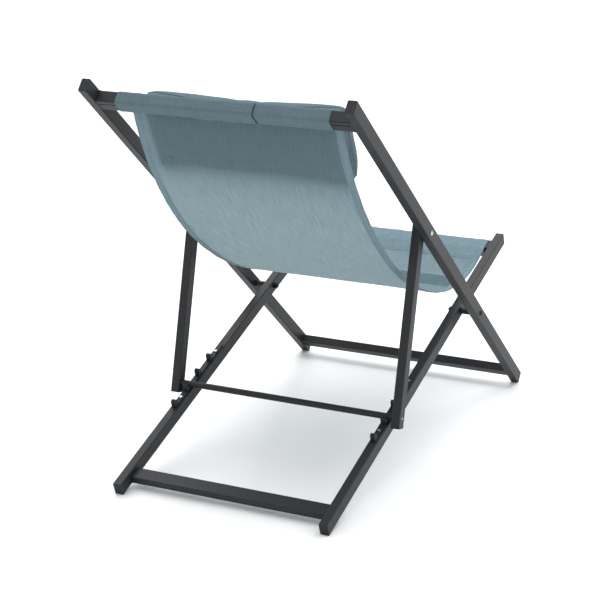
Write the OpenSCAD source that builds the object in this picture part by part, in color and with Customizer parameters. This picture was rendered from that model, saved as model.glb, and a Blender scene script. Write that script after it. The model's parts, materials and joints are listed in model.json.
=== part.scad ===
// Folding deck chair: a back frame, a seat frame and a support frame of rectangular
// tube, a mesh sling between the two long frames, and a head pillow.
// Side profiles are drawn as [y, z] and extruded along X. The sitter faces -Y.

/* [Frame] */
// Width over the outer faces of the back rails
overall_w = 600; // [520:5:720]
// Length of a back rail, plugs left out
back_len = 1317; // [1250:1:1600]
// Length of a seat rail, plugs left out
seat_len = 1067; // [1010:1:1300]
// Tilt of the back rails above the floor, in degrees
back_angle = 40.45; // [36:0.05:48]
// Tilt of the seat rails above the floor, in degrees
seat_angle = 19.23; // [17:0.01:22]
// Distance from a front foot to the main pivot, along the back rail
pivot_at = 394.5; // [350:0.5:430]
// Distance from a front foot to the support frame's pin, along the back rail
pin_at = 807.6; // [760:0.1:860]

/* [Tube] */
// Wide side of a rail
rail_d = 29; // [24:0.5:36]
// Narrow side of a rail
rail_w = 20; // [16:0.5:25]
// Wall of every tube
tube_t = 1.6; // [1.2:0.1:2.5]
// Gap between a back rail and a seat rail
frame_gap = 28.5; // [26:0.5:36]
// Thickness of a tube plug's visible cap
plug_cap = 3; // [3:0.5:6]
// Height trimmed off each foot plug to give it a flat
foot_trim = 0.8; // [0.4:0.1:0.8]

/* [Crossbars] */
// Height of the grooved crossbars, along the rails
groove_bar_h = 34; // [30:0.5:40]
// Depth of the grooved crossbars, across the rails
groove_bar_d = 26; // [22:0.5:28]
// Distance from a rail's end to its grooved crossbar
groove_bar_inset = 39; // [30:1:60]
// Distance from a rail's lower end to its foot crossbar
foot_bar_inset = 25; // [15:1:60]
// Thickness of the front foot crossbar
front_foot_bar_t = 20; // [14:0.5:22]
// Thickness of the rear foot crossbar
rear_foot_bar_t = 17; // [14:0.5:22]

/* [Support] */
// Wide side of a support strut
strut_d = 26; // [20:0.5:30]
// Narrow side of a support strut
strut_w = 20; // [16:0.5:22]
// Clearance between a strut and the back rail beside it
strut_side_gap = 1; // [0.5:0.1:2]
// Diameter of the support frame's crossbar
bar_d = 14; // [12:0.5:18]
// Distance from the crossbar's axis to the end of a strut
bar_above_end = 22; // [16:0.5:30]

/* [Notch racks] */
// Distance from a rear foot to the crossbar's seat in use, along the seat rail
notch_at = 340; // [300:1:380]
// Distance between two notches
notch_pitch = 57.5; // [50:0.5:70]
// Width of a rack
rack_w = 11; // [8:0.5:14]
// Thickness of a rack's base strip
rack_base = 3; // [2:0.5:5]
// Height of a rack's teeth above the rail
tooth_h = 18; // [14:0.5:22]
// Length of a tooth along the rail
tooth_l = 11; // [8:0.5:14]

/* [Pivots] */
// Diameter of a main pivot bolt
bolt_d = 8; // [6:0.5:10]
// Diameter of a spacer on a main pivot bolt
spacer_d = 14; // [12:0.5:20]
// Diameter of a support pin's screw
pin_d = 6; // [5:0.5:8]
// Radial clearance of a turning fit
turn_fit = 0.05; // [0.02:0.01:0.1]

/* [Fabric] */
// Gap between the sling's side and the seat rail beside it
sling_side_gap = 4.5; // [4.5:0.5:30]
// Thickness of the sling
sling_t = 1.4; // [1:0.1:3]
// Clearance of a sleeve around its crossbar
sleeve_fit = 0.6; // [0.4:0.1:2]
// How much narrower the pillow is than the sling, at each side
pillow_side_in = 4; // [2:1:30]
// Length of the pillow, down the sling
pillow_l = 166; // [120:1:240]
// Thickness of the pillow
pillow_t = 72; // [40:1:90]

/* [Hidden] */
$fn = 64;

frame_color = "#33363a";
plug_color = "#17181a";
steel_color = "#b9bcc0";
sling_color = "#7d949b";

// Directions along a rail and square to it, as [y, z]
back_dir = [cos(back_angle), sin(back_angle)];
back_up = [-sin(back_angle), cos(back_angle)];
seat_dir = [-cos(seat_angle), sin(seat_angle)];
seat_up = [sin(seat_angle), cos(seat_angle)];

// Whole lengths with the caps on, and the lowest point of each rail's end on the floor
back_full = back_len + 2 * plug_cap;
seat_full = seat_len + 2 * plug_cap;
front_foot = back_up * rail_d / 2 - [0, foot_trim];
pivot = front_foot + back_dir * pivot_at;
seat_pivot_at = (pivot[1] + foot_trim - rail_d / 2 * cos(seat_angle)) / sin(seat_angle);
rear_foot = pivot - seat_dir * seat_pivot_at;

// The part stands with its origin under the middle of its box
low_y = (front_foot + back_up * rail_d / 2)[0];
high_y = max((rear_foot + seat_up * rail_d / 2)[0],
             (front_foot + back_dir * back_full - back_up * rail_d / 2)[0]);
shift = [-(low_y + high_y) / 2, 0];

function on_back(s, n) = shift + front_foot + back_dir * s + back_up * n;
function on_seat(s, n) = shift + rear_foot + seat_dir * s + seat_up * n;

// Faces of the frames across the width
back_out = overall_w / 2;
back_in = back_out - rail_w;
seat_out = back_in - frame_gap;
seat_in = seat_out - rail_w;
seat_mid = seat_out - rail_w / 2;
strut_out = back_in - strut_side_gap;
strut_in = strut_out - strut_w;

sling_w = 2 * (seat_in - sling_side_gap);
pillow_w = sling_w - 2 * pillow_side_in;

// The support frame runs from its pin to the crossbar in the middle notch
bar_r = bar_d / 2;
bar_n = rail_d / 2 + rack_base + bar_r;
pin_yz = on_back(pin_at, 0);
bar_yz = on_seat(notch_at, bar_n);
strut_vec = bar_yz - pin_yz;
strut_span = norm(strut_vec);
strut_turn = atan2(strut_vec[1], strut_vec[0]);
strut_top = 15;
strut_full = strut_top + strut_span + bar_above_end;

eps = 0.02;
plug_in = 12;
plug_wall_fit = 0.1;
plug_edge = 2.5;
bar_wall = 1.5;
tube_edge = 2;

module side(yz, turn) translate([0, yz[0], yz[1]]) rotate([turn, 0, 0]) children();
module pair() for (m = [0, 1]) mirror([m, 0, 0]) children();
module left() children();
module right() mirror([1, 0, 0]) children();

// A solid along X from x0 to x1, with its profile in the side plane
module across(x0, x1) translate([x0, 0, 0]) rotate([90, 0, 90]) linear_extrude(x1 - x0) children();
module rod(x0, x1, r) translate([x0, 0, 0]) rotate([0, 90, 0]) cylinder(h = x1 - x0, r = r);

module round_rect(w, h, r) {
  square([w - 2 * r, h], center = true);
  square([w, h - 2 * r], center = true);
  for (i = [-1, 1], j = [-1, 1]) translate([i * (w / 2 - r), j * (h / 2 - r)]) circle(r);
}

// A rectangular tube along +Y from s0 to s1, w wide in X and d deep in Z
module tube(s0, s1, w, d) translate([0, s1, 0]) rotate([90, 0, 0]) linear_extrude(s1 - s0)
  difference() {
    round_rect(w, d, tube_edge);
    round_rect(w - 2 * tube_t, d - 2 * tube_t, tube_edge / 2);
  }

// A tube plug at s that points along dir (1 or -1): a rounded cap, and a body inside the tube
module plug(s, dir, w, d, depth = plug_in) translate([0, s, 0]) mirror([0, dir < 0 ? 1 : 0, 0]) {
  translate([0, plug_cap, 0]) rotate([90, 0, 0]) linear_extrude(plug_cap) round_rect(w, d, plug_edge);
  translate([0, eps, 0]) rotate([90, 0, 0]) linear_extrude(depth)
    round_rect(w - 2 * tube_t - 2 * plug_wall_fit, d - 2 * tube_t - 2 * plug_wall_fit, tube_edge / 2);
}

module on_back_rail() side(on_back(0, 0), back_angle) children();
module on_seat_rail() side(on_seat(0, 0), 180 - seat_angle) mirror([0, 0, 1]) children();
module on_strut() side(pin_yz, strut_turn) children();

// Back frame
module back_rail() color(frame_color) difference() {
  on_back_rail() translate([back_out - rail_w / 2, 0, 0])
    tube(plug_cap, plug_cap + back_len, rail_w, rail_d);
  side(on_back(pivot_at, 0), 0) rod(back_in - 1, back_out + 1, bolt_d / 2 + turn_fit);
  side(pin_yz, 0) rod(back_in - 1, back_out + 1, pin_d / 2);
}
module back_rail_left() left() back_rail();
module back_rail_right() right() back_rail();

// Grooved crossbar: a hollow profile with a slot for the sling's rod in its outer face
rod_r = 3;
slot_w = 3;
groove_r = rod_r + 0.9;
groove_wall = 3;
slot_s = groove_bar_h / 6;
slot_n = -groove_bar_d / 2 + groove_r + bar_wall;
bar_edge = 3;
end_t = 4;
end_lip = 0.5;
// How much nearer to its rails' ends the seat's grooved crossbar lies than the head's
front_bar_nearer = 9;
module slotted_profile() difference() {
  union() {
    difference() {
      round_rect(groove_bar_h, groove_bar_d, bar_edge);
      round_rect(groove_bar_h - 2 * groove_wall, groove_bar_d - 2 * groove_wall, bar_edge / 2);
    }
    translate([slot_s, slot_n]) circle(groove_r + bar_wall);
  }
  translate([slot_s, slot_n]) circle(groove_r);
  translate([slot_s - slot_w / 2, -groove_bar_d]) square([slot_w, groove_bar_d - groove_r]);
}
head_s = back_full - groove_bar_inset - groove_bar_h / 2;
front_s = seat_full - groove_bar_inset + front_bar_nearer - groove_bar_h / 2;
module bar_end() round_rect(groove_bar_h + 2 * end_lip, groove_bar_d + 2 * end_lip, bar_edge);

module head_bar() color(frame_color) on_back_rail() translate([0, head_s, 0])
  across(-back_in + end_t, back_in - end_t) slotted_profile();
module head_bar_ends() color(plug_color) on_back_rail() translate([0, head_s, 0]) pair()
  across(back_in - end_t, back_in) bar_end();

foot_s = plug_cap + foot_bar_inset + rail_d / 2;
module foot_profile(len, thick) difference() {
  round_rect(len, thick, tube_edge);
  round_rect(len - 2 * tube_t, thick - 2 * tube_t, tube_edge / 2);
}
module front_foot_bar() color(frame_color) on_back_rail() translate([0, foot_s, 0])
  across(-back_in, back_in) foot_profile(rail_d, front_foot_bar_t);

module back_rail_caps() color(plug_color) on_back_rail() pair()
  translate([back_out - rail_w / 2, 0, 0]) plug(plug_cap + back_len, 1, rail_w, rail_d);
module on_floor() intersection() {
  children();
  translate([-overall_w, -overall_w, 0]) cube([2 * overall_w, 2 * overall_w, overall_w]);
}
module front_foot_plugs() color(plug_color) pair() on_floor() on_back_rail()
  translate([back_out - rail_w / 2, 0, 0]) plug(plug_cap, -1, rail_w, rail_d);

// A domed head whose flat face is at x0, pointing along +X
module dome(x0, r, h) translate([x0, 0, 0]) rotate([0, 90, 0]) intersection() {
  cylinder(h = h, r = r);
  translate([0, 0, h - (r * r + h * h) / (2 * h)]) sphere((r * r + h * h) / (2 * h));
}
pin_head_r = 5.5;
pin_head_h = 2.4;
module pin_screws() color(steel_color) side(pin_yz, 0) pair() {
  rod(back_in, back_out + eps, pin_d / 2);
  dome(back_out, pin_head_r, pin_head_h);
}

// Seat frame
module seat_rail() color(frame_color) difference() {
  on_seat_rail() translate([seat_mid, 0, 0])
    tube(plug_cap, plug_cap + seat_len, rail_w, rail_d);
  side(on_back(pivot_at, 0), 0) rod(seat_in - 1, seat_out + 1, bolt_d / 2);
  on_seat_rail() for (s = rack_screw_s) translate([seat_mid, s, 0])
    cylinder(h = rail_d, r = rack_screw_r);
}
module seat_rail_left() left() seat_rail();
module seat_rail_right() right() seat_rail();

module seat_front_bar() color(frame_color) on_seat_rail() translate([0, front_s, 0])
  across(-seat_in + end_t, seat_in - end_t) slotted_profile();
module seat_front_bar_ends() color(plug_color) on_seat_rail() translate([0, front_s, 0]) pair()
  across(seat_in - end_t, seat_in) bar_end();

// The rear foot crossbar stands its wide face up, just under the rails' top faces
rear_bar_l = 33;
rear_bar_n = -6;
rear_bar_higher = 12;
rear_bar_s = plug_cap + foot_bar_inset + rear_bar_higher + rear_bar_l / 2;
module rear_foot_bar() color(frame_color) on_seat_rail() translate([0, rear_bar_s, rear_bar_n])
  across(-seat_in + end_t, seat_in - end_t) foot_profile(rear_bar_l, rear_foot_bar_t);
module rear_foot_bar_ends() color(plug_color) on_seat_rail() translate([0, rear_bar_s, rear_bar_n]) pair()
  across(seat_in - end_t, seat_in)
    round_rect(rear_bar_l + 2 * end_lip, rear_foot_bar_t + 2 * end_lip, tube_edge);

module seat_rail_caps() color(plug_color) on_seat_rail() pair()
  translate([seat_mid, 0, 0]) plug(plug_cap + seat_len, 1, rail_w, rail_d);
module rear_foot_plugs() color(plug_color) pair() on_floor() on_seat_rail()
  translate([seat_mid, 0, 0]) plug(plug_cap, -1, rail_w, rail_d);

// Notch rack: a base strip with four teeth; the crossbar lies against the front of a tooth
rack_floor = rail_d / 2;
notch_count = 3;
notch_s = [for (i = [0 : notch_count - 1]) notch_at + (i - 1) * notch_pitch];
seat_r = bar_r + turn_fit;
first_tooth_s = notch_s[0] - seat_r - tooth_l;
last_tooth_s = notch_s[notch_count - 1] + notch_pitch - seat_r - tooth_l;
rack_tab = 52;
rack_end_s = last_tooth_s + tooth_l + rack_tab;
rack_screw_r = 2;
rack_screw_head_r = 3.6;
rack_screw_head_h = 2.2;
rack_screw_deep = 5;
rack_screw_low = 16;
rack_screw_high = 25;
rack_screw_s = [notch_s[0] + rack_screw_low, last_tooth_s + tooth_l + rack_screw_high];
module tooth_profile(s) {
  translate([s, rack_floor]) square([tooth_l, tooth_h - tooth_l / 2]);
  translate([s + tooth_l / 2, rack_floor + tooth_h - tooth_l / 2]) circle(tooth_l / 2);
}
module rack_profile() difference() {
  union() {
    translate([first_tooth_s, rack_floor]) square([rack_end_s - first_tooth_s, rack_base]);
    for (s = notch_s) {
      tooth_profile(s - seat_r - tooth_l);
      translate([s - seat_r - tooth_l / 2, rack_floor]) square([seat_r + tooth_l / 2, bar_n - rack_floor]);
    }
    tooth_profile(last_tooth_s);
  }
  for (s = notch_s) translate([s, bar_n]) circle(seat_r);
}
module rack() color(plug_color) on_seat_rail() difference() {
  across(seat_mid - rack_w / 2, seat_mid + rack_w / 2) rack_profile();
  for (s = rack_screw_s) translate([seat_mid, s, 0]) cylinder(h = rail_d, r = rack_screw_r);
}
module rack_left() left() rack();
module rack_right() right() rack();
module rack_screws() color(steel_color) on_seat_rail() pair() for (s = rack_screw_s)
  translate([seat_mid, s, rack_floor + rack_base]) {
    cylinder(h = rack_screw_head_h, r = rack_screw_head_r);
    translate([0, 0, -rack_base - rack_screw_deep])
      cylinder(h = rack_base + rack_screw_deep + eps, r = rack_screw_r);
  }

// Main pivot, from the outside in: bolt head, back rail, washer, spacer, washer, seat rail, nut
washer_t = 1;
face_fit = 0.1;
washer_r = spacer_d / 2 + 1.5;
bolt_head_r = 7;
bolt_head_h = 4;
nut_across = 13;
nut_h = 6;
nut_dome_h = 5;
nut_dome_in = 0.5;
bolt_tail = 8;
module pivot_bolts() color(steel_color) side(pivot + shift, 0) pair() {
  rod(seat_in - bolt_tail, back_out + eps, bolt_d / 2);
  dome(back_out, bolt_head_r, bolt_head_h);
}
module ring(x0, x1, r_out) difference() {
  rod(x0, x1, r_out);
  rod(x0 - 1, x1 + 1, bolt_d / 2);
}
module pivot_spacers() color(plug_color) side(pivot + shift, 0) pair()
  ring(seat_out + washer_t, back_in - washer_t - face_fit, spacer_d / 2);
module pivot_washers() color(plug_color) side(pivot + shift, 0) pair()
  for (x0 = [seat_out, back_in - washer_t - face_fit]) ring(x0, x0 + washer_t, washer_r);
module pivot_nuts() color(steel_color) side(pivot + shift, 0) pair() difference() {
  union() {
    translate([seat_in - nut_h, 0, 0]) rotate([0, 90, 0])
      cylinder(h = nut_h, r = nut_across / 2 / cos(30), $fn = 6);
    mirror([1, 0, 0]) dome(-seat_in + nut_h - eps, nut_across / 2 - nut_dome_in, nut_dome_h);
  }
  rod(seat_in - bolt_tail, seat_in + 1, bolt_d / 2);
}

// Support frame
module strut() color(frame_color) difference() {
  on_strut() translate([strut_out - strut_w / 2, 0, 0])
    tube(plug_cap - strut_top, strut_full - strut_top - plug_cap, strut_w, strut_d);
  side(pin_yz, 0) rod(strut_in - 1, strut_out + 1, pin_nut_r);
  side(bar_yz, 0) rod(strut_in - 1, strut_out + 1, bar_screw_r);
}
module strut_left() left() strut();
module strut_right() right() strut();
strut_plug_in = 6;
module strut_top_plugs() color(plug_color) on_strut() pair()
  translate([strut_out - strut_w / 2, 0, 0]) plug(plug_cap - strut_top, -1, strut_w, strut_d, strut_plug_in);
module strut_foot_plugs() color(plug_color) on_strut() pair()
  translate([strut_out - strut_w / 2, 0, 0]) plug(strut_full - strut_top - plug_cap, 1, strut_w, strut_d);

bar_screw_r = 2.5;
bar_screw_deep = 16;
bar_screw_head_r = 5;
module strut_bar() color(frame_color) side(bar_yz, 0) difference() {
  rod(-strut_in, strut_in, bar_r);
  rod(-strut_in + 2 * bar_screw_deep, strut_in - 2 * bar_screw_deep, bar_r - bar_wall);
  pair() rod(strut_in - bar_screw_deep, strut_in + 1, bar_screw_r);
}
module strut_bar_screws() color(steel_color) side(bar_yz, 0) pair()
  rod(strut_in - bar_screw_deep, strut_out, bar_screw_r);

pin_nut_r = 4;
pin_nut_head_h = 2;
module pin_nuts() color(steel_color) side(pin_yz, 0) pair() {
  rod(strut_in - eps, strut_out, pin_nut_r);
  mirror([1, 0, 0]) dome(-strut_in, pin_head_r + 1, pin_nut_head_h);
}

// Sling: one strip along a curve from the head crossbar to the front crossbar, a sleeve on each
function curve(p, t) = pow(1 - t, 3) * p[0] + 3 * pow(1 - t, 2) * t * p[1]
                     + 3 * (1 - t) * t * t * p[2] + pow(t, 3) * p[3];
function slope(p, t) = 3 * pow(1 - t, 2) * (p[1] - p[0]) + 6 * (1 - t) * t * (p[2] - p[1])
                     + 3 * t * t * (p[3] - p[2]);
function unit(v) = v / norm(v);
function side_of(p, t, d) = let (u = unit(slope(p, t))) curve(p, t) + d * [-u[1], u[0]];
// How far the sling's two inner control points lie from its crossbar or pivot, and below the rails
sag_back = 192;
sag_reach = 364;
sag_seat = 49;
seat_reach = -33;
sleeve_h = groove_bar_h / 2 + sleeve_fit + sling_t;
sleeve_d = groove_bar_d / 2 + sleeve_fit + sling_t;
// Where a sleeve's two layers join: below the head crossbar, and just under the front one
join_below = 22;
join_n = 17.5;
join_under = 4;
sling_top = on_back(head_s - sleeve_h - join_below, join_n);
sling_front = on_seat(front_s - sleeve_h + join_under, sleeve_d - sling_t / 2);
sling_ctrl = [sling_top,
              on_back(head_s - sag_reach, -sag_back),
              on_seat(seat_pivot_at + seat_reach, -sag_seat),
              sling_front];
sling_steps = 24;
module strip(p, half_t, steps) polygon(concat(
  [for (i = [0 : steps]) side_of(p, i / steps, half_t)],
  [for (i = [steps : -1 : 0]) side_of(p, i / steps, -half_t)]));
module sleeve_outline(grow) round_rect(groove_bar_h + 2 * (sleeve_fit + grow),
                                       groove_bar_d + 2 * (sleeve_fit + grow), bar_edge + sleeve_fit + grow);
module sleeve_ring() difference() {
  sleeve_outline(sling_t);
  sleeve_outline(0);
}
module in_plane(yz, turn, flip) translate(yz) rotate(turn) mirror([0, flip]) children();
module tail(a, b) {
  u = unit(b - a);
  n = [-u[1], u[0]] * sling_t / 2;
  polygon([a + n, b + n, b - n, a - n]);
}
tail_edge = 4;
module sling_part() across(-sling_w / 2, sling_w / 2) children();
module sling() color(sling_color) union() {
  sling_part() strip(sling_ctrl, sling_t / 2, sling_steps);
  sling_part() in_plane(on_back(head_s, 0), back_angle, 0) sleeve_ring();
  sling_part() in_plane(on_seat(front_s, 0), 180 - seat_angle, 1) sleeve_ring();
  for (n = [-1, 1]) sling_part() 
    tail(on_back(head_s - sleeve_h + sling_t / 2, n * (sleeve_d - tail_edge)), sling_top);
}
rod_short = 1;
module groove_rod(s) translate([0, s + slot_s, slot_n]) rod(-sling_w / 2 + rod_short, sling_w / 2 - rod_short, rod_r);
module head_rod() color(plug_color) on_back_rail() groove_rod(head_s);
module seat_front_rod() color(plug_color) on_seat_rail() groove_rod(front_s);

// Pillow on the sitter's side of the sling, hung from a strap over the head crossbar
pillow_gap = 1.5;
// It sits a little to one side on its strap
pillow_aside = 7;
module pillow_part() across(-pillow_w / 2 - pillow_aside, pillow_w / 2 - pillow_aside) children();
pillow_from = -0.014;
// The sling's curve runs slower past its start, so an arc takes up a little more of it
pillow_stretch = 1.06;
pillow_to = pillow_from + pillow_stretch * pillow_l / 3 / norm(sling_ctrl[1] - sling_ctrl[0]);
pillow_fullness = 2.6;
pillow_steps = 20;
function bulge(u) = pillow_t * sqrt(max(0, 1 - pow(abs(2 * u - 1), pillow_fullness)));
function pillow_at(u, d) = side_of(sling_ctrl, pillow_from + (pillow_to - pillow_from) * u, -pillow_gap - d);
module pillow() color(sling_color) pillow_part() polygon(concat(
  [for (i = [0 : pillow_steps]) pillow_at(i / pillow_steps, 0)],
  [for (i = [pillow_steps - 1 : -1 : 1]) pillow_at(i / pillow_steps, bulge(i / pillow_steps))]));
strap_t = 1.4;
strap_gap = 0.3;
strap_in = sleeve_fit + sling_t + strap_gap;
strap_edge = bar_edge + strap_in;
strap_low = strap_edge + strap_t;
strap_meets = -0.006;
module strap_ring() difference() {
  round_rect(groove_bar_h + 2 * (strap_in + strap_t), groove_bar_d + 2 * (strap_in + strap_t),
             strap_edge + strap_t);
  round_rect(groove_bar_h + 2 * strap_in, groove_bar_d + 2 * strap_in, strap_edge);
  translate([-2 * groove_bar_h, -groove_bar_d]) square([2 * groove_bar_h - strap_low, 2 * groove_bar_d]);
}
module pillow_strap() color(sling_color) union() {
  pillow_part() in_plane(on_back(head_s, 0), back_angle, 0) strap_ring();
  pillow_part()
    tail(on_back(head_s - strap_low + eps, groove_bar_d / 2 + strap_in + strap_t / 2),
         pillow_at(strap_meets, 0));
}

back_rail_left();
back_rail_right();
head_bar();
head_bar_ends();
front_foot_bar();
back_rail_caps();
front_foot_plugs();
pin_screws();
seat_rail_left();
seat_rail_right();
seat_front_bar();
seat_front_bar_ends();
rear_foot_bar();
rear_foot_bar_ends();
seat_rail_caps();
rear_foot_plugs();
rack_left();
rack_right();
rack_screws();
pivot_bolts();
pivot_spacers();
pivot_washers();
pivot_nuts();
strut_left();
strut_right();
strut_bar();
strut_bar_screws();
strut_top_plugs();
strut_foot_plugs();
pin_nuts();
sling();
head_rod();
seat_front_rod();
pillow();
pillow_strap();
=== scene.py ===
import bmesh
import bpy
import json
import math
import numpy as np
from mathutils import Matrix, Vector
from mathutils.bvhtree import BVHTree


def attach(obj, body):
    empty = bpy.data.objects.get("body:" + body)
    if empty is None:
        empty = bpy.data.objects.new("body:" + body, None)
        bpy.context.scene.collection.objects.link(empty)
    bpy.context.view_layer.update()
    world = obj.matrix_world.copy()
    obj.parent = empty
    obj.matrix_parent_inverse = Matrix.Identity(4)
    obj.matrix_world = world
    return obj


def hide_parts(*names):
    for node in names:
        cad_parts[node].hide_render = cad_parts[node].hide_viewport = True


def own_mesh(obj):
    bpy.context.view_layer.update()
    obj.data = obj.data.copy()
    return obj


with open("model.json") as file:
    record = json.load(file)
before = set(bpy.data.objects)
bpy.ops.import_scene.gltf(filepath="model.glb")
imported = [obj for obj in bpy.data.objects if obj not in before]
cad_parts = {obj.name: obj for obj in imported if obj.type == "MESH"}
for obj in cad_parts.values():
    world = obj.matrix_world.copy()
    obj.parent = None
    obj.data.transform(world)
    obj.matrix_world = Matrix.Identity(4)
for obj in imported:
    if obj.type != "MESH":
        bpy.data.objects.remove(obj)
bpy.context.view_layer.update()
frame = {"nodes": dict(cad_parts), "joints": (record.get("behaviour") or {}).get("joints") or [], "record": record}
nodes = frame["nodes"]
print("frame loaded:", len(nodes), "nodes")

# ---- where things are: s runs along a rail from its foot, n square to it, to the sitter's side
pivot = np.array([j["pos_m"] for j in frame["joints"] if j["name"] == "fold"][0][1:])
layout = {
    "backTilt": 40.45, "seatTilt": 19.23,       # degrees above the floor
    "pivotOnBack": 0.3945, "pivotOnSeat": 0.76902,
    "headBar": 1.267, "frontBar": 1.026,        # crossbar centres, along their rails
    "barHigh": 0.034, "barDeep": 0.026,         # both grooved crossbars
}


def railFrame(tilt, flip):
    a = math.radians(tilt)
    along = np.array([math.cos(a) * flip, math.sin(a)])
    up = np.array([-math.sin(a) * flip, math.cos(a)])
    return along, up


backAlong, backUp = railFrame(layout["backTilt"], 1)
seatAlong, seatUp = railFrame(layout["seatTilt"], -1)


def onBack(s, n):
    return pivot + backAlong * (s - layout["pivotOnBack"]) + backUp * n


def onSeat(s, n):
    return pivot + seatAlong * (s - layout["pivotOnSeat"]) + seatUp * n


def smoothStep(x, low, high):
    t = np.clip((np.asarray(x, float) - low) / (high - low), 0, 1)
    return t * t * (3 - 2 * t)


# ---- shader wiring
class Wire:
    def __init__(self, board, socket):
        self.board = board
        self.socket = socket

    def math(self, operation, first, second):
        return self.board.node("ShaderNodeMath", {"operation": operation}, {0: first, 1: second})

    def __add__(self, other):
        return self.math("ADD", self, other)

    def __sub__(self, other):
        return self.math("SUBTRACT", self, other)

    def __mul__(self, other):
        return self.math("MULTIPLY", self, other)

    def __pow__(self, other):
        return self.math("POWER", self, other)

    def __rsub__(self, other):
        return self.math("SUBTRACT", other, self)

    __radd__ = __add__
    __rmul__ = __mul__


class Board:
    def __init__(self, name):
        self.material = bpy.data.materials.new(name)
        self.material.use_nodes = True
        self.tree = self.material.node_tree
        self.tree.nodes.clear()

    def node(self, kind, settings=None, sockets=None, out=0):
        made = self.tree.nodes.new(kind)
        for key, value in (settings or {}).items():
            if key == "stops":
                self.setStops(made, value)
            else:
                setattr(made, key, value)
        for key, value in (sockets or {}).items():
            if isinstance(value, Wire):
                self.tree.links.new(value.socket, made.inputs[key])
            else:
                made.inputs[key].default_value = value
        return Wire(self, made.outputs[out]) if len(made.outputs) else made

    def setStops(self, ramp, stops):
        while len(ramp.color_ramp.elements) < len(stops):
            ramp.color_ramp.elements.new(0.5)
        for element, (place, colour) in zip(ramp.color_ramp.elements, stops):
            element.position = place
            element.color = colour

    def step(self, value, low, high):
        return self.node("ShaderNodeMapRange", {"interpolation_type": "SMOOTHSTEP"},
                         {"Value": value, "From Min": low, "From Max": high})

    def noise(self, vector, scale, detail=2.0, rough=0.5):
        return self.node("ShaderNodeTexNoise", {},
                         {"Vector": vector, "Scale": scale, "Detail": detail, "Roughness": rough})

    def mix(self, share, first, second):
        return self.node("ShaderNodeMix", {"data_type": "RGBA"}, {0: share, 6: first, 7: second}, out=2)

    def finish(self, constants, varying, glow=None):
        """glow is the share of light that comes through thin cloth, and its colour"""
        shader = self.node("ShaderNodeBsdfPrincipled", {}, {**constants, **varying})
        if glow:
            through = self.node("ShaderNodeBsdfTranslucent", {}, {"Color": glow[1]})
            shader = self.node("ShaderNodeMixShader", {}, {0: glow[0], 1: shader, 2: through})
        self.node("ShaderNodeOutputMaterial", {}, {"Surface": shader})
        return self.material


# ---- finishes
coat = {
    "name": "powderCoat", "colour": (0.016, 0.0172, 0.0192, 1), "speck": (0.028, 0.030, 0.033, 1),
    "worn": (0.085, 0.088, 0.092, 1), "rough": 0.46, "grain": 900.0, "peel": 220.0,
    "edge": 0.0016,                              # how far wear reaches from an edge
}


def makeCoat(part):
    b = Board(part["name"])
    where = b.node("ShaderNodeTexCoord", {}, {}, "Object")
    grain = b.noise(where, part["grain"], 2.0)
    peel = b.noise(where, part["peel"], 1.0)
    cloud = b.noise(where, 6.0, 3.0)
    rounded = b.node("ShaderNodeBevel", {"samples": 6}, {"Radius": part["edge"]})
    flat = b.node("ShaderNodeNewGeometry", {}, {}, "Normal")
    turned = b.node("ShaderNodeVectorMath", {"operation": "DOT_PRODUCT"}, {0: rounded, 1: flat}, "Value")
    edge = b.step(1 - turned, 0.03, 0.30) * b.step(cloud, 0.40, 0.62)
    base = b.mix(b.step(grain, 0.50, 0.72), part["colour"], part["speck"])
    colour = b.mix(edge * 0.75, base, part["worn"])
    rough = cloud * 0.10 + (part["rough"] - 0.05) + grain * 0.05
    height = grain * 0.4 + peel * 0.6
    bump = b.node("ShaderNodeBump", {}, {"Height": height, "Strength": 0.35, "Distance": 0.00025})
    return b.finish({"Specular IOR Level": 0.24, "Coat Roughness": 0.35},
                    {"Base Color": colour, "Roughness": rough, "Normal": bump})


plastic = {
    "name": "mouldedPlastic", "colour": (0.013, 0.0135, 0.015, 1), "scuff": (0.034, 0.035, 0.037, 1),
    "rough": 0.5, "grain": 1400.0,
}


def makePlastic(part):
    b = Board(part["name"])
    where = b.node("ShaderNodeTexCoord", {}, {}, "Object")
    grain = b.noise(where, part["grain"], 1.0)
    scuff = b.step(b.noise(where, 45.0, 4.0, 0.65), 0.58, 0.74)
    colour = b.mix(scuff * 0.6, part["colour"], part["scuff"])
    rough = grain * 0.12 + (part["rough"] - 0.06) + scuff * 0.08
    bump = b.node("ShaderNodeBump", {}, {"Height": grain, "Strength": 0.25, "Distance": 0.0001})
    return b.finish({"Specular IOR Level": 0.24}, {"Base Color": colour, "Roughness": rough, "Normal": bump})


steel = {
    "name": "zincSteel", "colour": (0.52, 0.53, 0.55, 1), "dull": (0.30, 0.31, 0.33, 1), "rough": 0.28,
}
blackSteel = {
    "name": "blackSteel", "colour": (0.030, 0.031, 0.033, 1), "dull": (0.018, 0.018, 0.020, 1), "rough": 0.42,
}
blackened = ("pivot_bolts", "pivot_nuts", "pivot_washers")


def makeSteel(part):
    b = Board(part["name"])
    where = b.node("ShaderNodeTexCoord", {}, {}, "Object")
    cloud = b.noise(where, 260.0, 3.0)
    brushed = b.noise(b.node("ShaderNodeMapping", {}, {"Vector": where, "Scale": (300.0, 2400.0, 2400.0)}), 1.0)
    colour = b.mix(b.step(cloud, 0.42, 0.66), part["colour"], part["dull"])
    rough = cloud * 0.22 + (part["rough"] - 0.1)
    bump = b.node("ShaderNodeBump", {}, {"Height": brushed, "Strength": 0.2, "Distance": 0.00006})
    return b.finish({"Metallic": 1.0}, {"Base Color": colour, "Roughness": rough, "Normal": bump})


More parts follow.
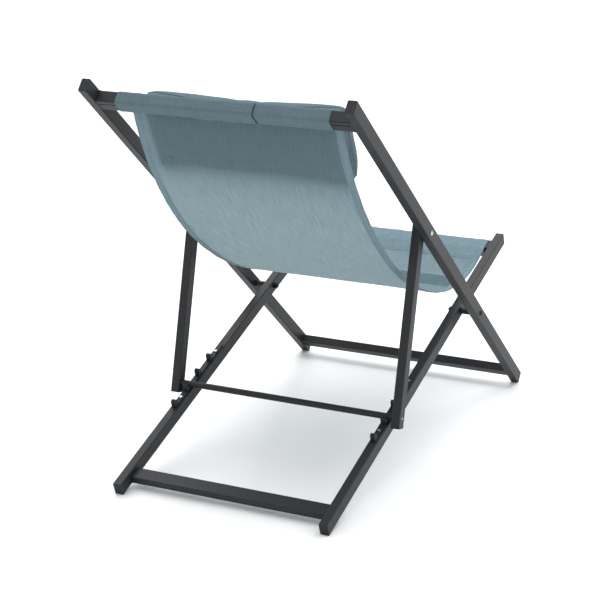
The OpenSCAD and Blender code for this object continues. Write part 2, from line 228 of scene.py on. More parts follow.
weave = {
    "warp": 0.00118, "weft": 0.00132,            # yarn spacing across and along the cloth
    "colour": (0.104, 0.150, 0.172, 1), "pale": (0.124, 0.174, 0.196, 1), "deep": (0.080, 0.119, 0.139, 1),
    "streak": 1 / 0.0034, "streakRun": 1 / 0.05, "rough": 0.82, "open": 0.30,
    "through": (0.63, 0.72, 0.735, 1), "share": 0.43,
}


def makeWeave(name, part, toneAndLight=1.0, onMap=True, opened=True):
    """onMap reads the cloth's own map in metres; without it the yarns follow the piece's own directions"""
    b = Board(name)
    if onMap:
        where = b.node("ShaderNodeUVMap", {"uv_map": "clothMap"}, {}, "UV")
        across = b.node("ShaderNodeSeparateXYZ", {}, {"Vector": where}, "X")
        along = b.node("ShaderNodeSeparateXYZ", {}, {"Vector": where}, "Y")
    else:
        where = b.node("ShaderNodeTexCoord", {}, {}, "Object")
        across = b.node("ShaderNodeSeparateXYZ", {}, {"Vector": where}, "X")
        along = b.node("ShaderNodeVectorMath", {"operation": "DOT_PRODUCT"},
                       {0: where, 1: (0.0, 0.30, 0.954)}, "Value")
    flat = b.node("ShaderNodeCombineXYZ", {}, {"X": across, "Y": along})

    def wave(place, spacing, shift=0.0):
        turn = place * (2 * math.pi / spacing) + shift
        return b.node("ShaderNodeMath", {"operation": "SINE"}, {0: turn}) * 0.5 + 0.5

    wobble = b.noise(b.node("ShaderNodeMapping", {}, {"Vector": flat, "Scale": (900.0, 60.0, 1.0)}), 1.0) * 1.3
    warp = b.node("ShaderNodeMath", {"operation": "SINE"},
                  {0: across * (2 * math.pi / part["warp"]) + wobble}) * 0.5 + 0.5
    weft = wave(along, part["weft"])
    over = b.node("ShaderNodeMath", {"operation": "SINE"}, {0: across * (math.pi / part["warp"])}) \
        * b.node("ShaderNodeMath", {"operation": "SINE"}, {0: along * (math.pi / part["weft"])})
    height = b.node("ShaderNodeMath", {"operation": "MAXIMUM"},
                    {0: warp * (over * 0.25 + 0.75), 1: weft * (0.62 - over * 0.2)})
    pit = (1 - warp) * (1 - weft)
    streakMap = b.node("ShaderNodeMapping", {},
                       {"Vector": flat, "Scale": (part["streak"], part["streakRun"], 1.0)})
    streak = b.noise(streakMap, 1.0, 2.0, 0.6)
    broadMap = b.node("ShaderNodeMapping", {}, {"Vector": flat, "Scale": (70.0, 5.0, 1.0)})
    broad = b.noise(broadMap, 1.0, 2.0)
    # the tone factor scales all three yarn colours: partly the cloth's own tone, partly painted light and shade that
    # differs from one copy of the weave to the next
    light = [c * toneAndLight for c in part["pale"][:3]] + [1]
    mid = [c * toneAndLight for c in part["colour"][:3]] + [1]
    deep = [c * toneAndLight for c in part["deep"][:3]] + [1]
    colour = b.mix(b.step(streak, 0.36, 0.68), mid, light)
    colour = b.mix(b.step(broad, 0.42, 0.75) * 0.10, colour, deep)
    colour = b.mix(b.step(pit, 0.25, 0.8) * 0.75, colour, deep)
    crossMap = b.node("ShaderNodeMapping", {},
                      {"Vector": flat, "Scale": (part["streakRun"], part["streak"], 1.0)})
    cross = b.noise(crossMap, 1.0, 2.0, 0.6)
    colour = b.mix(b.step(cross, 0.40, 0.72) * 0.35, colour, deep)
    rough = part["rough"] + streak * 0.1 - height * 0.1
    bump = b.node("ShaderNodeBump", {}, {"Height": height + streak * 0.3, "Strength": 0.55, "Distance": 0.00035})
    varying = {"Base Color": colour, "Roughness": rough, "Normal": bump}
    if opened:
        body = 1 - b.node("ShaderNodeAttribute", {"attribute_name": "hemBand"}, {}, "Fac")
        varying["Alpha"] = 1 - b.step(pit, 0.10, 0.75) * part["open"] * body
        threads = streak * 0.9 + cross * 0.5 + 0.30
        return b.finish({"Specular IOR Level": 0.08}, varying, (threads * body * part["share"], part["through"]))
    return b.finish({"Specular IOR Level": 0.08}, varying)


coatFinish = makeCoat(coat)
plasticFinish = makePlastic(plastic)
steelFinish = makeSteel(steel)
blackSteelFinish = makeSteel(blackSteel)
# one weave in lit and shaded copies: the sling and the front sleeve are painted lighter (1.45), while the head
# sleeve, its lap and the pillow's welt are painted darker (0.92). This is painted light and painted shade.
litMeshFinish = makeWeave("slingMeshLit", weave, toneAndLight=1.45)
shadedHemFinish = makeWeave("doubledMeshShaded", weave, toneAndLight=0.92, opened=False)
litFrontFinish = makeWeave("frontMeshLit", weave, toneAndLight=1.45, opened=False)
pillowFinish = makeWeave("pillowCover", weave, toneAndLight=0.95, onMap=False, opened=False)
threadFinish = makeWeave("sewingThread", weave, toneAndLight=1.25, onMap=False, opened=False)
finishOf = {"frame": coatFinish, "plastic": plasticFinish, "steel": steelFinish, "rod": plasticFinish}
for part in frame["record"]["subparts"]:
    if part["material_slot"] in finishOf:
        nodes[part["node"]].data.materials.clear()
        finish = blackSteelFinish if part["node"] in blackened else finishOf[part["material_slot"]]
        nodes[part["node"]].data.materials.append(finish)
print("finishes made:", len(bpy.data.materials))


# ---- cloth built as a thin closed shell along a side profile
def addMesh(name, verts, faces, uvs, material, smooth=True):
    mesh = bpy.data.meshes.new(name)
    mesh.from_pydata([tuple(v) for v in verts], [], faces)
    if uvs is not None:
        layer = mesh.uv_layers.new(name="clothMap")
        index = np.zeros(len(mesh.loops), int)
        mesh.loops.foreach_get("vertex_index", index)
        layer.data.foreach_set("uv", np.asarray(uvs, np.float32)[index].ravel())
    if smooth:
        mesh.polygons.foreach_set("use_smooth", [True] * len(mesh.polygons))
    mesh.materials.append(material)
    mesh.update()
    thing = bpy.data.objects.new(name, mesh)
    bpy.context.scene.collection.objects.link(thing)
    return thing


def alongPath(points):
    points = np.asarray(points, float)
    steps = np.linalg.norm(np.diff(points, axis=0), axis=1)
    return np.concatenate([[0], np.cumsum(steps)])


def resample(points, pitch):
    length = alongPath(points)
    count = max(2, int(round(length[-1] / pitch)) + 1)
    places = np.linspace(0, length[-1], count)
    points = np.asarray(points, float)
    return np.stack([np.interp(places, length, points[:, k]) for k in range(points.shape[1])], 1)


def sideNormals(points):
    slope = np.gradient(points, axis=0)
    slope /= np.linalg.norm(slope, axis=1)[:, None]
    return np.stack([-slope[:, 1], slope[:, 0]], 1)


def clothShell(name, path, acrossAt, halfThick, material, lift=None, width=None, mapFrom=0.0):
    """path is the side profile, acrossAt the x stations from -1 to 1, width(v) the half width in metres"""
    normals = sideNormals(path)
    length = alongPath(path)
    rows, cols = len(path), len(acrossAt)
    top, bottom, uvs = [], [], []
    for i in range(rows):
        centre, halfWidth = width(length[i])
        for j in range(cols):
            x = centre + halfWidth * acrossAt[j]
            raised = lift(x, length[i]) if lift else 0.0
            thick = halfThick(acrossAt[j] * halfWidth, halfWidth)
            for store, side in ((top, 1), (bottom, -1)):
                p = path[i] + normals[i] * (raised + side * thick)
                store.append((x, p[0], p[1]))
            uvs.append((x, length[i] + mapFrom))
    verts = top + bottom
    total = rows * cols
    faces = []
    for i in range(rows - 1):
        for j in range(cols - 1):
            a = i * cols + j
            quad = (a, a + 1, a + cols + 1, a + cols)
            faces.append(quad[::-1])
            faces.append(tuple(total + q for q in quad))
        left, right = i * cols, i * cols + cols - 1
        faces.append((left, left + cols, total + left + cols, total + left)[::-1])
        faces.append((right, right + cols, total + right + cols, total + right))
    for j in range(cols - 1):
        last = (rows - 1) * cols + j
        faces.append((j, j + 1, total + j + 1, total + j))
        faces.append((last, last + 1, total + last + 1, total + last)[::-1])
    made = addMesh(name, verts, faces, uvs + uvs, material)
    fixNormals(made)
    return made


def fixNormals(thing):
    work = bmesh.new()
    work.from_mesh(thing.data)
    bmesh.ops.recalc_face_normals(work, faces=work.faces)
    work.to_mesh(thing.data)
    work.free()
    thing.data.update()


# ---- sling
sling = {
    "halfWidth": 0.235, "hem": 0.017, "halfThick": 0.00045, "hemHalfThick": 0.00105,
    "topBelow": 0.041, "topN": 0.0175,           # where the strip leaves the head sleeve
    "reachBack": 0.364, "sagBack": 0.192, "reachSeat": -0.033, "sagSeat": 0.049,
    "frontBack": 0.015, "frontUp": 0.0143,       # where it meets the front sleeve
    "overlap": 0.080, "pitch": 0.008, "overlapLight": -0.5,
    "widthAt": (0, 0.35, 0.7, 1), "halfWidths": (0.2342, 0.2398, 0.2315, 0.2245),
}
slingCtrl = [onBack(layout["headBar"] - sling["topBelow"], sling["topN"]),
             onBack(layout["headBar"] - sling["reachBack"], -sling["sagBack"]),
             onSeat(layout["pivotOnSeat"] + sling["reachSeat"], -sling["sagSeat"]),
             onSeat(layout["frontBar"] - sling["frontBack"], sling["frontUp"])]


def slingPoint(t):
    t = np.asarray(t, float)[:, None]
    a, b, c, d = slingCtrl
    return (1 - t) ** 3 * a + 3 * (1 - t) ** 2 * t * b + 3 * (1 - t) * t * t * c + t ** 3 * d


slingPath = resample(slingPoint(np.linspace(0, 1, 400)), sling["pitch"])
slingLength = alongPath(slingPath)
splitRow = int(np.argmin(np.linalg.norm(slingPath - pivot, axis=1)))
overlapRows = int(sling["overlap"] / sling["pitch"])
hemStations = [-1, -0.997, -0.985, -0.96, -0.932, -0.924, -0.90]
slingStations = np.array(hemStations + list(np.linspace(-0.85, 0.85, 35)) + [-h for h in reversed(hemStations)])


def hemThick(x, halfWidth):
    inward = halfWidth - abs(x)
    edge = math.sqrt(max(0.0, 1 - max(0.0, 1 - inward / 0.0012) ** 2))
    band = 1 - float(smoothStep(inward, sling["hem"] - 0.0012, sling["hem"] + 0.0006))
    return max(0.0001, edge * (sling["halfThick"] + band * (sling["hemHalfThick"] - sling["halfThick"])))


def slingLift(x, v):
    """slow waves and the pull lines that run in from the corners under the head bar"""
    side = abs(x) / sling["halfWidth"]
    total = slingLength[-1]
    slow = 0.0002 * math.sin(5.2 * x / 0.456 * math.pi + 3.1 * v) * math.sin(math.pi * v / total)
    pucker = 0.0004 * math.sin(2 * math.pi * v / 0.047 + 3 * math.sin(v * 19)) * float(smoothStep(side, 0.86, 1.0))
    pull = 0.0
    for reach, depth, spread in ((0.75, 0.0007, 0.022), (0.62, 0.0005, 0.016)):
        line = 0.98 - reach * (v / 0.42)
        pull -= depth * math.exp(-((abs(x) - line * sling["halfWidth"]) / spread) ** 2) \
            * float(smoothStep(v, 0.02, 0.12)) * (1 - float(smoothStep(v, 0.22, 0.42)))
    return slow + pucker + pull


def slingHalf(v):
    """the sling's middle and its half width, v along it from the head"""
    return 0.0, float(np.interp(v / slingLength[-1], sling["widthAt"], sling["halfWidths"]))


def halfPiece(name, firstRow, lastRow, tuck):
    path = slingPath[firstRow:lastRow + 1]
    start = slingLength[firstRow]

    total = slingLength[lastRow] - start

    def lift(x, v):
        return slingLift(x, v + start) + tuck(v, total)

    def width(v):
        return slingHalf(v + start)

    made = clothShell(name, path, slingStations, hemThick, litMeshFinish, lift, width, start)
    hem = np.abs(slingStations) * sling["halfWidth"] > sling["halfWidth"] - sling["hem"] - 0.0005
    band = made.data.attributes.new("hemBand", "FLOAT", "POINT")
    value = np.tile(hem.astype(np.float32), (len(path), 1))
    doubled = (np.arange(firstRow, lastRow + 1) >= splitRow) & (np.arange(firstRow, lastRow + 1) <= splitRow
                                                              + overlapRows)
    value[np.ix_(doubled, ~hem)] = sling["overlapLight"]     # two thin layers there look like one
    band.data.foreach_set("value", np.tile(value.ravel(), 2))
    return made


def tuckUnder(v, total):
    return -0.0013 * float(smoothStep(v, total - sling["overlap"] - 0.02, total - sling["overlap"]))


def noTuck(v, total):
    return 0.0


slingUpper = halfPiece("slingUpper", 0, splitRow + overlapRows, tuckUnder)
slingLower = halfPiece("slingLower", splitRow, len(slingPath) - 1, noTuck)
print("sling made, length", round(float(slingLength[-1]), 3))

bpy.context.view_layer.update()


# ---- head sleeve: a loop round the crossbar, split by a slit, with a lapped seam beside it
sleeve = {
    "left": 0.235, "right": -0.235, "slitLeft": -0.0718, "slitRight": -0.0742,
    "gap": 0.0012, "corner": 0.0058, "halfThick": 0.00055, "pitch": 0.0018,
    "lapFrom": 0.061, "lapTo": -0.0714, "lapHang": 0.0035,
}


def ringCorners(high, deep, gap, corner):
    """half of the loop's height and depth, and the points of its rounded outline, from bottom rear up and over"""
    hs, hn = high / 2 + gap, deep / 2 + gap
    turns = []
    for cs, cn, a0 in ((-1, -1, 270), (1, -1, 0), (1, 1, 90), (-1, 1, 180)):
        centre = (cs * (hs - corner), cn * (hn - corner))
        start = {(-1, -1): 180, (1, -1): 270, (1, 1): 0, (-1, 1): 90}[(cs, cn)]
        arc = [(centre[0] + corner * math.cos(math.radians(start + k * 15)),
                centre[1] + corner * math.sin(math.radians(start + k * 15))) for k in range(7)]
        turns.append(arc)
    return turns


def headLoop(extra):
    """the loop's side profile in (s, n) about the head bar's centre, starting and ending where the layers join"""
    turns = ringCorners(layout["barHigh"], layout["barDeep"], sleeve["gap"] + extra, sleeve["corner"] + extra)
    join = (-sling["topBelow"] - 0.004, sling["topN"])
    rearLow, rearTop, frontTop, frontLow = turns
    return [join] + rearLow[1:] + rearTop + frontTop + frontLow[:-1] + [(join[0], join[1] + 0.0012)]


def toBack(points, s):
    return np.array([onBack(s + p[0], p[1]) for p in points])


def edgeThick(half, rim):
    def thick(x, halfWidth):
        inward = halfWidth - abs(x)
        return max(0.00012, half * math.sqrt(max(0.0, 1 - max(0.0, 1 - inward / rim) ** 2)))
    return thick


def stationsFor(span, step, rim):
    """x stations from -1 to 1 for a band of that width, closer at its two edges"""
    inner = max(2, int(span / step))
    edge = [1 - 2 * k * rim / span for k in (0, 0.15, 0.5, 1.0, 3.0)]
    middle = np.linspace(-(1 - 8 * rim / span), 1 - 8 * rim / span, inner)
    return np.array([-e for e in edge] + list(middle) + list(reversed(edge)))


def sleeveLift(x, v):
    return 0.0005 * math.sin(x * 61 + 2 * math.sin(x * 23)) * math.sin(v * 70) \
        + 0.0003 * math.sin(x * 170 + v * 40)


def band(name, path, x0, x1, half, material, lift=sleeveLift, taper=0.0, mapFrom=0.0):
    total = alongPath(path)[-1]
    span, centre = abs(x1 - x0), (x0 + x1) / 2

    def width(v):
        near = 1 - min(v, total - v) / 0.03
        return centre, span / 2 - taper * max(0.0, near)

    return clothShell(name, path, stationsFor(span, 0.006, 0.0012), edgeThick(half, 0.0012),
                      material, lift, width, mapFrom)


loopPath = resample(toBack(headLoop(0.0), layout["headBar"]), sleeve["pitch"])
sleeveLeft = band("headSleeveLeft", loopPath, sleeve["slitLeft"], sleeve["left"], sleeve["halfThick"], shadedHemFinish)
sleeveRight = band("headSleeveRight", loopPath, sleeve["right"], sleeve["slitRight"], sleeve["halfThick"],
                   shadedHemFinish)
lapPoints = headLoop(0.0013)[1:15]
lapStart = (lapPoints[0][0] - sleeve["lapHang"], lapPoints[0][1] - 0.0006)
lapPath = resample(toBack([lapStart] + lapPoints, layout["headBar"]), sleeve["pitch"])
lap = band("sleeveLap", lapPath, sleeve["lapTo"], sleeve["lapFrom"], 0.0005, shadedHemFinish)

# ---- front sleeve round the seat's crossbar
frontSleeve = {"half": 0.2245, "corner": 0.0058, "tail": 0.050, "under": 0.016, "lie": 0.0018,
               "touch": 0.0003}


def toSeat(points, s):
    return np.array([onSeat(s + p[0], p[1]) for p in points])


def slingTail(long, near, off):
    """points along the sling's last stretch, lying off it by near at first and off at the end"""
    rows = [i for i in range(len(slingPath)) if slingLength[-1] - slingLength[i] < long]
    lie = np.linspace(near, off, len(rows))[:, None]
    return slingPath[rows] - sideNormals(slingPath)[rows] * lie


rearLow, rearTop, frontTop, frontLow = ringCorners(layout["barHigh"], layout["barDeep"], sleeve["gap"],
                                                   frontSleeve["corner"])
frontRound = toSeat(list(reversed(frontTop))[:-1] + list(reversed(rearTop)) + list(reversed(rearLow)),
                    layout["frontBar"])
frontPath = resample(np.concatenate([slingTail(frontSleeve["tail"], frontSleeve["touch"], frontSleeve["lie"])[:-1], frontRound,
                                     slingTail(frontSleeve["under"], -frontSleeve["touch"],
                                               -frontSleeve["lie"])[:-1][::-1]]),
                     sleeve["pitch"])
frontBand = band("frontSleeve", frontPath, -frontSleeve["half"], frontSleeve["half"], sleeve["halfThick"],
                 litFrontFinish)
print("sleeves made")

# ---- pillow: a closed form against the sling, blown up a little by a cloth simulation
pillow = {
    "halfWidth": 0.2235, "centre": -0.0070, "from": -0.019, "long": 0.178, "thick": 0.072, "back": 0.0022,
    "seamAt": 0.40, "voxel": 0.005, "pressure": 4.0, "frames": 20, "cap": 0.009, "press": 0.15,
}
slingFine = slingPoint(np.linspace(-0.03, 0.35, 381))
slingFineLength = alongPath(slingFine) - alongPath(slingFine)[30]      # nought where the strip begins
slingFineNormal = -sideNormals(slingFine)                # to the sitter's side


def offSling(v, h):
    point = np.array([np.interp(v, slingFineLength, slingFine[:, k]) for k in (0, 1)])
    normal = np.array([np.interp(v, slingFineLength, slingFineNormal[:, k]) for k in (0, 1)])
    return point + normal / np.linalg.norm(normal) * h


def pillowForm(part):
    across, around = 56, 40
    verts, faces = [], []
    for i in range(across + 1):
        x = -1 + 2 * i / across
        x = math.copysign(1 - (1 - abs(x)) ** 1.25, x)
        full = max(0.0, 1 - abs(x) ** 16) ** 0.35
        pinch = 0.0045 * (1 - (2 * abs(x) - 1) ** 2)         # sides pull in between the corners
        long = part["long"] * (1 - 0.02 * abs(x) ** 7) - 2 * pinch * 0.4
        middle = part["from"] + part["long"] / 2
        for j in range(around):
            a = 2 * math.pi * j / around
            c, s = math.cos(a), math.sin(a)
            v = middle - math.copysign(abs(c) ** 0.72, c) * long / 2
            power, root = (2.6, 0.62) if s > 0 else (9.0, 0.4)       # its back lies flat on the sling
            swell = max(0.0, 1 - abs(c) ** power) ** root * full
            share = (1 - part["seamAt"]) if s > 0 else part["seamAt"]
            h = part["back"] + part["thick"] * (part["seamAt"] + math.copysign(swell, s) * share)
            p = offSling(v, h)
            verts.append((part["centre"] + x * part["halfWidth"], p[0], p[1]))
    for i in range(across):
        for j in range(around):
            a, b = i * around + j, i * around + (j + 1) % around
            faces.append((a, b, b + around, a + around))
    faces.append(tuple(range(around))[::-1])
    faces.append(tuple(across * around + j for j in range(around)))
    made = addMesh("pillow", verts, faces, None, pillowFinish)
    work = bmesh.new()
    work.from_mesh(made.data)
    bmesh.ops.remove_doubles(work, verts=work.verts, dist=0.0002)
    bmesh.ops.recalc_face_normals(work, faces=work.faces)
    work.to_mesh(made.data)
    work.free()
    return made


def applied(thing, name):
    bpy.context.view_layer.update()
    graph = bpy.context.evaluated_depsgraph_get()
    mesh = bpy.data.meshes.new_from_object(thing.evaluated_get(graph))
    old = thing.data
    thing.modifiers.clear()
    thing.data = mesh
    mesh.name = name
    bpy.data.meshes.remove(old)
    return thing


def meshPoints(thing):
    co = np.zeros(len(thing.data.vertices) * 3)
    thing.data.vertices.foreach_get("co", co)
    return co.reshape(-1, 3)


def blowUp(thing, part):
    remesh = thing.modifiers.new("even", "REMESH")
    remesh.mode = "VOXEL"
    remesh.voxel_size = part["voxel"]
    applied(thing, "pillow")
    before = meshPoints(thing)
    cloth = thing.modifiers.new("stuffing", "CLOTH")
    cloth.settings.quality = 5
    cloth.settings.mass = 0.2
    cloth.settings.tension_stiffness = 12
    cloth.settings.compression_stiffness = 12
    cloth.settings.bending_stiffness = 0.4
    cloth.settings.use_pressure = True
    cloth.settings.uniform_pressure_force = part["pressure"]
    cloth.settings.effector_weights.gravity = 0
    cloth.collision_settings.use_collision = False
    cloth.point_cache.frame_start = 1
    cloth.point_cache.frame_end = part["frames"]
    for f in range(1, part["frames"] + 1):
        bpy.context.scene.frame_set(f)
    applied(thing, "pillow")
    bpy.context.scene.frame_set(1)
    after = meshPoints(thing)
    move = after - before
    far = np.linalg.norm(move, axis=1)
    move *= (part["cap"] * np.tanh(far / part["cap"]) / np.maximum(far, 1e-9))[:, None]
    settled = before + move
    seg = slingFine[None, ::6, :]
    nearest = np.argmin(((settled[:, None, 1:] - seg) ** 2).sum(2), 1) * 6
    height = ((settled[:, 1:] - slingFine[nearest]) * slingFineNormal[nearest]).sum(1) - part["back"]
    pressed = np.maximum(0, height) * (part["press"] + (1 - part["press"]) * smoothStep(height, 0.004, 0.034))
    settled[:, 1:] += slingFineNormal[nearest] * (pressed - height)[:, None]     # its back lies on the sling
    thing.data.vertices.foreach_set("co", settled.ravel())
    smooth = thing.modifiers.new("even", "SMOOTH")
    smooth.factor = 0.4
    smooth.iterations = 3
    finer = thing.modifiers.new("finer", "SUBSURF")
    finer.levels = 1
    finer.render_levels = 1
    applied(thing, "pillow")
    thing.data.polygons.foreach_set("use_smooth", [True] * len(thing.data.polygons))
    thing.data.materials.clear()
    thing.data.materials.append(pillowFinish)
    return thing


pillowPiece = blowUp(pillowForm(pillow), pillow)
print("pillow made:", len(pillowPiece.data.polygons), "faces")

# ---- pillow's seam: a thin welt all round, laid on the finished pillow
welt = {"radius": 0.0013, "sides": 8, "pitch": 0.004}


def tube(name, points, radius, sides, material, closed):
    points = np.asarray(points, float)
    count = len(points)
    verts, faces = [], []
    for i in range(count):
        ahead = points[(i + 1) % count] if closed or i + 1 < count else points[i]
        behind = points[i - 1] if closed or i > 0 else points[i]
        slope = Vector(ahead - behind).normalized()
        side = slope.cross(Vector((0.31, 0.83, 0.46))).normalized()
        up = slope.cross(side)
        for k in range(sides):
            a = 2 * math.pi * k / sides
            verts.append(Vector(points[i]) + (side * math.cos(a) + up * math.sin(a)) * radius)
    rings = count if closed else count - 1
    for i in range(rings):
        for k in range(sides):
            a, b = i * sides + k, i * sides + (k + 1) % sides
            c, d = ((i + 1) % count) * sides + (k + 1) % sides, ((i + 1) % count) * sides + k
            faces.append((a, b, c, d))
    if not closed:
        faces.append(tuple(range(sides))[::-1])
        faces.append(tuple((count - 1) * sides + k for k in range(sides)))
    made = addMesh(name, verts, faces, None, material)
    fixNormals(made)
    return made


def weltPath(part):
    middle = part["from"] + part["long"] / 2
    h = part["back"] + part["thick"] * part["seamAt"]
    w, half = part["halfWidth"] * 1.02, part["long"] / 2 * 1.04
    ring = []
    for k in range(360):
        a = 2 * math.pi * k / 360
        c, s = math.cos(a), math.sin(a)
        x = math.copysign(abs(c) ** 0.16, c) * w
        p = offSling(middle + math.copysign(abs(s) ** 0.16, s) * half, h)
        ring.append((part["centre"] + x, p[0], p[1]))
    return resample(ring + ring[:1], welt["pitch"])[:-1]


tree = BVHTree.FromPolygons([v.co for v in pillowPiece.data.vertices],
                            [tuple(f.vertices) for f in pillowPiece.data.polygons])
onPillow = np.array([np.array(tree.find_nearest(Vector(p))[0]) for p in weltPath(pillow)])
onPillow = (np.roll(onPillow, 1, 0) + onPillow * 2 + np.roll(onPillow, -1, 0)) / 4
weltPiece = tube("pillowWelt", onPillow, welt["radius"], welt["sides"], shadedHemFinish, True)
print("pillow welt made")

# ---- stitches follow every hem: one tree, a row of small spindles along each line
stitch = {"pitch": 0.0042, "long": 0.0031, "thick": 0.00042}


def stitchTree():
    tree = bpy.data.node_groups.new("stitchRow", "GeometryNodeTree")
    ports = tree.interface
    ports.new_socket("Geometry", in_out="INPUT", socket_type="NodeSocketGeometry")
    for name, value in (("Pitch", stitch["pitch"]), ("Length", stitch["long"]), ("Thickness", stitch["thick"])):
        ports.new_socket(name, in_out="INPUT", socket_type="NodeSocketFloat").default_value = value
    ports.new_socket("Thread", in_out="INPUT", socket_type="NodeSocketMaterial")
    ports.new_socket("Geometry", in_out="OUTPUT", socket_type="NodeSocketGeometry")
    add, link = tree.nodes.new, tree.links.new
    given, result = add("NodeGroupInput"), add("NodeGroupOutput")
    curve = add("GeometryNodeMeshToCurve")
    spots = add("GeometryNodeCurveToPoints")
    spots.mode = "LENGTH"
    spindle = add("GeometryNodeMeshUVSphere")
    spindle.inputs["Segments"].default_value = 6
    spindle.inputs["Rings"].default_value = 4
    spindle.inputs["Radius"].default_value = 1.0
    size = add("ShaderNodeCombineXYZ")
    half = add("ShaderNodeMath")
    half.operation = "MULTIPLY"
    half.inputs[1].default_value = 0.5
    turn = add("FunctionNodeAlignRotationToVector")
    turn.axis = "Z"
    place = add("GeometryNodeInstanceOnPoints")
    solid = add("GeometryNodeRealizeInstances")
    dye = add("GeometryNodeSetMaterial")
    link(given.outputs["Geometry"], curve.inputs["Mesh"])
    link(curve.outputs["Curve"], spots.inputs["Curve"])
    link(given.outputs["Pitch"], spots.inputs["Length"])
    link(given.outputs["Length"], half.inputs[0])
    link(given.outputs["Thickness"], size.inputs["X"])
    link(given.outputs["Thickness"], size.inputs["Y"])
    link(half.outputs[0], size.inputs["Z"])
    link(spots.outputs["Tangent"], turn.inputs["Vector"])
    link(spots.outputs["Points"], place.inputs["Points"])
    link(spindle.outputs["Mesh"], place.inputs["Instance"])
    link(turn.outputs["Rotation"], place.inputs["Rotation"])
    link(size.outputs[0], place.inputs["Scale"])
    link(place.outputs["Instances"], solid.inputs["Geometry"])
    link(solid.outputs["Geometry"], dye.inputs["Geometry"])
    link(given.outputs["Thread"], dye.inputs["Material"])
    link(dye.outputs["Geometry"], result.inputs["Geometry"])
    return tree


stitchRows = stitchTree()


def stitched(name, lines):
    verts, edges = [], []
    for line in lines:
        first = len(verts)
        verts += [tuple(p) for p in line]
        edges += [(first + k, first + k + 1) for k in range(len(line) - 1)]
    mesh = bpy.data.meshes.new(name)
    mesh.from_pydata(verts, edges, [])
    thing = bpy.data.objects.new(name, mesh)
    bpy.context.scene.collection.objects.link(thing)
    rows = thing.modifiers.new("stitches", "NODES")
    rows.node_group = stitchRows
    for item in stitchRows.interface.items_tree:
        if item.item_type == "SOCKET" and item.name == "Thread":
            rows[item.identifier] = threadFinish
    applied(thing, name)
    thing.data.polygons.foreach_set("use_smooth", [True] * len(thing.data.polygons))
    return thing


def slingLine(edge, inset, firstRow, lastRow, side, tuck=noTuck):
    """a line on one face of the sling, set in from one edge"""
    path = slingPath[firstRow:lastRow + 1]
    normals = sideNormals(path)
    start, length = slingLength[firstRow], alongPath(path)
    proud = sling["hemHalfThick"] + stitch["thick"] * 0.15
    line = []
    for i in range(len(path)):
        x = edge * (slingHalf(length[i] + start)[1] - inset)
        lift = slingLift(x, length[i] + start) + tuck(length[i], length[-1]) + side * proud
        line.append((x, *(path[i] + normals[i] * lift)))
    return line


seamLines = [(edge, inset, side) for edge in (-1, 1) for inset in (0.0035, 0.0125) for side in (-1, 1)]
upperStitches = stitched("slingUpperStitches", [slingLine(edge, inset, 1, splitRow + overlapRows - 1, side, tuckUnder)
                                                for edge, inset, side in seamLines])
lowerStitches = stitched("slingLowerStitches", [slingLine(edge, inset, splitRow + 1, len(slingPath) - 3, side)
                                                for edge, inset, side in seamLines])


def bandLine(path, row, x0, x1, proud, lift=sleeveLift):
    normals = sideNormals(path)
    v = alongPath(path)[row]
    xs = np.arange(min(x0, x1) + 0.004, max(x0, x1) - 0.004, 0.004)
    return [(x, *(path[row] + normals[row] * (lift(x, v) + proud))) for x in xs]


def edgeLine(path, x, rows, proud, lift=sleeveLift):
    normals = sideNormals(path)
    v = alongPath(path)
    return [(x, *(path[i] + normals[i] * (lift(x, v[i]) + proud))) for i in rows]


outward = -1 if float(np.dot(sideNormals(loopPath)[len(loopPath) // 4],
                            loopPath[len(loopPath) // 4] - onBack(layout["headBar"], 0))) < 0 else 1
sleeveProud = outward * (sleeve["halfThick"] + 0.0001)
lapProud = outward * 0.0006
rearRow = int(0.022 / sleeve["pitch"])
sleeveLines = [edgeLine(loopPath, x, range(6, len(loopPath) - 6), sleeveProud)
               for x in (sleeve["left"] - 0.004, sleeve["right"] + 0.004)]
sleeveLines.append(edgeLine(lapPath, sleeve["lapFrom"] - 0.004, range(3, len(lapPath) - 2), lapProud))
sleeveLines.append(edgeLine(lapPath, sleeve["lapTo"] + 0.004, range(3, len(lapPath) - 2), lapProud))
sleeveLines.append(bandLine(lapPath, 3, sleeve["lapFrom"], sleeve["lapTo"], lapProud))
sleeveStitches = stitched("headSleeveStitches", sleeveLines)
frontOut = -1 if float(np.dot(sideNormals(frontPath)[len(frontPath) // 2],
                             frontPath[len(frontPath) // 2] - onSeat(layout["frontBar"], 0))) < 0 else 1
frontStitches = stitched("frontSleeveStitches",
                         [bandLine(frontPath, row, -frontSleeve["half"], frontSleeve["half"],
                                   frontOut * (sleeve["halfThick"] + 0.0001)) for row in (3, 6)])
print("stitches made")

# ---- what each piece rides on
for piece, body in ((slingUpper, "back_frame"), (upperStitches, "back_frame"), (sleeveLeft, "back_frame"),
                    (sleeveRight, "back_frame"), (lap, "back_frame"), (sleeveStitches, "back_frame"),
                    (pillowPiece, "back_frame"), (weltPiece, "back_frame"),
                    (slingLower, "seat_frame"), (lowerStitches, "seat_frame"), (frontBand, "seat_frame"),
                    (frontStitches, "seat_frame")):
    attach(piece, body)
    "pillow" if piece in (pillowPiece, weltPiece) else "mesh"
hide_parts("sling")
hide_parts("sling")
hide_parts("pillow")
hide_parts("pillow_strap")

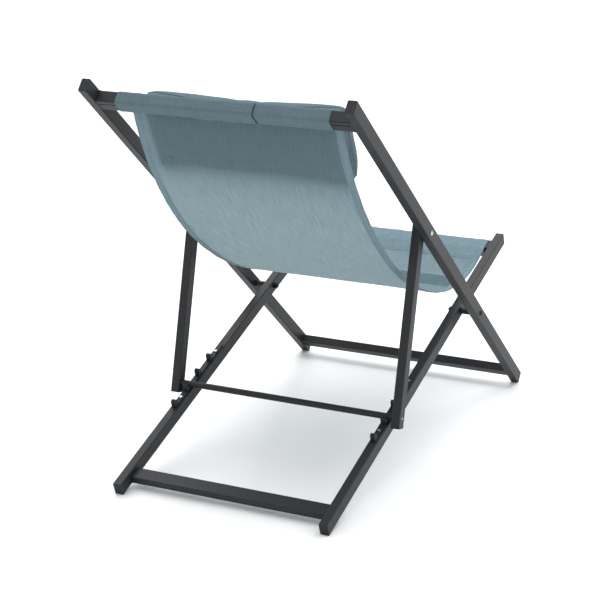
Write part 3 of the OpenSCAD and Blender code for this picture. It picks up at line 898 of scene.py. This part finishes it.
foldPlane = {"raise": 0.043, "at": 0.823, "keep": 0.04, "pillowOff": 0.055, "pillowKeep": 0.4}
planeStart = onBack(layout["headBar"] - sling["topBelow"], sling["topN"])
planeOver = onBack(foldPlane["at"], foldPlane["raise"])
planeSlope = (planeOver - planeStart) / np.linalg.norm(planeOver - planeStart)
planeNormal = np.array([planeSlope[1], -planeSlope[0]])
if planeNormal @ backUp < 0:
    planeNormal = -planeNormal
for piece in (slingUpper, upperStitches):
    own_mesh(piece)
pillowAnchor = planeStart + planeNormal * foldPlane["pillowOff"]
for piece in (pillowPiece, weltPiece):
    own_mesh(piece)

print("pieces set on their bodies")

# ---- floor, light and camera
studio = {
    "floor": (0.90, 0.90, 0.90, 1), "backdrop": 1.0, "fill": 0.98,
    "camera": (-1.5814, 3.3553, 1.476), "yaw": 26.3665, "pitch": -19.3277, "roll": -0.5431,
    "lens": 103.0, "shift": (0.01338, 0.10048),
}


def makeFloor(part):
    b = Board("studioFloor")
    where = b.node("ShaderNodeTexCoord", {}, {}, "Object")
    grain = b.noise(where, 3.0, 2.0)
    colour = b.mix(grain, part["floor"], (0.88, 0.88, 0.88, 1))
    material = b.finish({"Specular IOR Level": 0.35}, {"Base Color": colour, "Roughness": grain * 0.1 + 0.24})
    floor = addMesh("floor", [(-9, -9, 0), (9, -9, 0), (9, 9, 0), (-9, 9, 0)], [(0, 1, 2, 3)], None, material, False)


def makeSky(part):
    world = bpy.data.worlds.new("studio")
    bpy.context.scene.world = world
    world.use_nodes = True
    tree = world.node_tree
    tree.nodes.clear()
    seen, lit = tree.nodes.new("ShaderNodeBackground"), tree.nodes.new("ShaderNodeBackground")
    seen.inputs["Strength"].default_value = part["backdrop"]
    lit.inputs["Strength"].default_value = part["fill"]
    seen.inputs["Color"].default_value = (1, 1, 1, 1)
    lit.inputs["Color"].default_value = (0.96, 0.98, 1, 1)
    path, mix, out = (tree.nodes.new(k) for k in ("ShaderNodeLightPath", "ShaderNodeMixShader",
                                                  "ShaderNodeOutputWorld"))
    tree.links.new(path.outputs["Is Camera Ray"], mix.inputs[0])
    tree.links.new(lit.outputs[0], mix.inputs[1])
    tree.links.new(seen.outputs[0], mix.inputs[2])
    tree.links.new(mix.outputs[0], out.inputs["Surface"])


def softbox(name, place, aim, size, power, tint):
    data = bpy.data.lights.new(name, "AREA")
    data.shape = "RECTANGLE"
    data.size, data.size_y = size
    data.energy = power
    data.color = tint
    lamp = bpy.data.objects.new(name, data)
    bpy.context.scene.collection.objects.link(lamp)
    lamp.location = place
    lamp.rotation_euler = (Vector(aim) - Vector(place)).to_track_quat("-Z", "Y").to_euler()
    return lamp


def skyLight(name, toward, strength, spread):
    data = bpy.data.lights.new(name, "SUN")
    data.energy = strength
    data.angle = math.radians(spread)
    lamp = bpy.data.objects.new(name, data)
    bpy.context.scene.collection.objects.link(lamp)
    lamp.rotation_euler = Vector(toward).to_track_quat("Z", "Y").to_euler()


def makeCamera(part):
    yaw, pitch, roll = (math.radians(part[k]) for k in ("yaw", "pitch", "roll"))
    ahead = Vector((math.sin(yaw) * math.cos(pitch), -math.cos(yaw) * math.cos(pitch), math.sin(pitch)))
    right = ahead.cross(Vector((0, 0, 1))).normalized()
    up = right.cross(ahead)
    turnedRight = right * math.cos(roll) + up * math.sin(roll)
    turnedUp = up * math.cos(roll) - right * math.sin(roll)
    data = bpy.data.cameras.new("camera")
    data.lens = part["lens"]
    data.sensor_width = 36.0
    data.shift_x, data.shift_y = part["shift"]
    view = bpy.data.objects.new("camera", data)
    bpy.context.scene.collection.objects.link(view)
    pose = Matrix((turnedRight, turnedUp, -ahead)).transposed().to_4x4()
    pose.translation = Vector(part["camera"])
    view.matrix_world = pose
    bpy.context.scene.camera = view


makeFloor(studio)
makeSky(studio)
skyLight("overhead", (0.15, -0.35, 1.0), 2.5, 75)
softbox("sideLight", (-3.6, -0.4, 2.0), (0, 0, 0.4), (1.8, 2.4), 30, (1, 0.985, 0.97))
makeCamera(studio)
bpy.context.scene.view_settings.view_transform = "Standard"
print("studio made")
